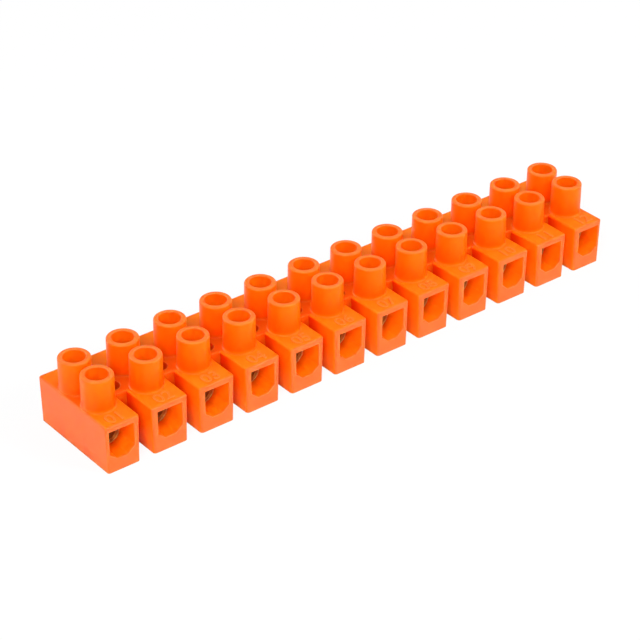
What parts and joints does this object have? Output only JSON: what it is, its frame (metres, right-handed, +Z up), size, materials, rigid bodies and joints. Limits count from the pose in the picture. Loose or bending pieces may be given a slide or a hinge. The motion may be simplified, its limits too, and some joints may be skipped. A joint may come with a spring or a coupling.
{
  "type": "terminal strip",
  "caption": "Row of joined screw terminals: one orange moulding with wire entries on both sides, open screw towers on top, brass sleeves inside and mounting holes between the poles.",
  "frame": {"origin": "middle of the flat base, between the two middle poles", "axes": "+X along the strip from pole 1 to pole 12, -Y towards the front wire entries, +Z up along the screw towers"},
  "size_m": [0.0932, 0.0166, 0.0126],
  "materials": {
    "orange_plastic": "satin",
    "brass": "satin",
    "plated_steel": "satin"
  },
  "bodies": {
    "strip": {"housing": "orange_plastic", "terminal_sleeve_01": "brass", "terminal_sleeve_02": "brass", "terminal_sleeve_03": "brass", "terminal_sleeve_04": "brass", "terminal_sleeve_05": "brass", "terminal_sleeve_06": "brass", "terminal_sleeve_07": "brass", "terminal_sleeve_08": "brass", "terminal_sleeve_09": "brass", "terminal_sleeve_10": "brass", "terminal_sleeve_11": "brass", "terminal_sleeve_12": "brass"},
    "clamp_screw_front_01": {"clamp_screw_front_01": "plated_steel"},
    "clamp_screw_back_01": {"clamp_screw_back_01": "plated_steel"},
    "clamp_screw_front_02": {"clamp_screw_front_02": "plated_steel"},
    "clamp_screw_back_02": {"clamp_screw_back_02": "plated_steel"},
    "clamp_screw_front_03": {"clamp_screw_front_03": "plated_steel"},
    "clamp_screw_back_03": {"clamp_screw_back_03": "plated_steel"},
    "clamp_screw_front_04": {"clamp_screw_front_04": "plated_steel"},
    "clamp_screw_back_04": {"clamp_screw_back_04": "plated_steel"},
    "clamp_screw_front_05": {"clamp_screw_front_05": "plated_steel"},
    "clamp_screw_back_05": {"clamp_screw_back_05": "plated_steel"},
    "clamp_screw_front_06": {"clamp_screw_front_06": "plated_steel"},
    "clamp_screw_back_06": {"clamp_screw_back_06": "plated_steel"},
    "clamp_screw_front_07": {"clamp_screw_front_07": "plated_steel"},
    "clamp_screw_back_07": {"clamp_screw_back_07": "plated_steel"},
    "clamp_screw_front_08": {"clamp_screw_front_08": "plated_steel"},
    "clamp_screw_back_08": {"clamp_screw_back_08": "plated_steel"},
    "clamp_screw_front_09": {"clamp_screw_front_09": "plated_steel"},
    "clamp_screw_back_09": {"clamp_screw_back_09": "plated_steel"},
    "clamp_screw_front_10": {"clamp_screw_front_10": "plated_steel"},
    "clamp_screw_back_10": {"clamp_screw_back_10": "plated_steel"},
    "clamp_screw_front_11": {"clamp_screw_front_11": "plated_steel"},
    "clamp_screw_back_11": {"clamp_screw_back_11": "plated_steel"},
    "clamp_screw_front_12": {"clamp_screw_front_12": "plated_steel"},
    "clamp_screw_back_12": {"clamp_screw_back_12": "plated_steel"}
  },
  "joints": [
    {"name": "clamp_screw_front_01_travel", "type": "slide", "parent": "strip", "child": "clamp_screw_front_01", "axis": [0, 0, -1], "range_m": [0, 0.0021]},
    {"name": "clamp_screw_back_01_travel", "type": "slide", "parent": "strip", "child": "clamp_screw_back_01", "axis": [0, 0, -1], "range_m": [0, 0.0021]},
    {"name": "clamp_screw_front_02_travel", "type": "slide", "parent": "strip", "child": "clamp_screw_front_02", "axis": [0, 0, -1], "range_m": [0, 0.0021]},
    {"name": "clamp_screw_back_02_travel", "type": "slide", "parent": "strip", "child": "clamp_screw_back_02", "axis": [0, 0, -1], "range_m": [0, 0.0021]},
    {"name": "clamp_screw_front_03_travel", "type": "slide", "parent": "strip", "child": "clamp_screw_front_03", "axis": [0, 0, -1], "range_m": [0, 0.0021]},
    {"name": "clamp_screw_back_03_travel", "type": "slide", "parent": "strip", "child": "clamp_screw_back_03", "axis": [0, 0, -1], "range_m": [0, 0.0021]},
    {"name": "clamp_screw_front_04_travel", "type": "slide", "parent": "strip", "child": "clamp_screw_front_04", "axis": [0, 0, -1], "range_m": [0, 0.0021]},
    {"name": "clamp_screw_back_04_travel", "type": "slide", "parent": "strip", "child": "clamp_screw_back_04", "axis": [0, 0, -1], "range_m": [0, 0.0021]},
    {"name": "clamp_screw_front_05_travel", "type": "slide", "parent": "strip", "child": "clamp_screw_front_05", "axis": [0, 0, -1], "range_m": [0, 0.0021]},
    {"name": "clamp_screw_back_05_travel", "type": "slide", "parent": "strip", "child": "clamp_screw_back_05", "axis": [0, 0, -1], "range_m": [0, 0.0021]},
    {"name": "clamp_screw_front_06_travel", "type": "slide", "parent": "strip", "child": "clamp_screw_front_06", "axis": [0, 0, -1], "range_m": [0, 0.0021]},
    {"name": "clamp_screw_back_06_travel", "type": "slide", "parent": "strip", "child": "clamp_screw_back_06", "axis": [0, 0, -1], "range_m": [0, 0.0021]},
    {"name": "clamp_screw_front_07_travel", "type": "slide", "parent": "strip", "child": "clamp_screw_front_07", "axis": [0, 0, -1], "range_m": [0, 0.0021]},
    {"name": "clamp_screw_back_07_travel", "type": "slide", "parent": "strip", "child": "clamp_screw_back_07", "axis": [0, 0, -1], "range_m": [0, 0.0021]},
    {"name": "clamp_screw_front_08_travel", "type": "slide", "parent": "strip", "child": "clamp_screw_front_08", "axis": [0, 0, -1], "range_m": [0, 0.0021]},
    {"name": "clamp_screw_back_08_travel", "type": "slide", "parent": "strip", "child": "clamp_screw_back_08", "axis": [0, 0, -1], "range_m": [0, 0.0021]},
    {"name": "clamp_screw_front_09_travel", "type": "slide", "parent": "strip", "child": "clamp_screw_front_09", "axis": [0, 0, -1], "range_m": [0, 0.0021]},
    {"name": "clamp_screw_back_09_travel", "type": "slide", "parent": "strip", "child": "clamp_screw_back_09", "axis": [0, 0, -1], "range_m": [0, 0.0021]},
    {"name": "clamp_screw_front_10_travel", "type": "slide", "parent": "strip", "child": "clamp_screw_front_10", "axis": [0, 0, -1], "range_m": [0, 0.0021]},
    {"name": "clamp_screw_back_10_travel", "type": "slide", "parent": "strip", "child": "clamp_screw_back_10", "axis": [0, 0, -1], "range_m": [0, 0.0021]},
    {"name": "clamp_screw_front_11_travel", "type": "slide", "parent": "strip", "child": "clamp_screw_front_11", "axis": [0, 0, -1], "range_m": [0, 0.0021]},
    {"name": "clamp_screw_back_11_travel", "type": "slide", "parent": "strip", "child": "clamp_screw_back_11", "axis": [0, 0, -1], "range_m": [0, 0.0021]},
    {"name": "clamp_screw_front_12_travel", "type": "slide", "parent": "strip", "child": "clamp_screw_front_12", "axis": [0, 0, -1], "range_m": [0, 0.0021]},
    {"name": "clamp_screw_back_12_travel", "type": "slide", "parent": "strip", "child": "clamp_screw_back_12", "axis": [0, 0, -1], "range_m": [0, 0.0021]}
  ]
}
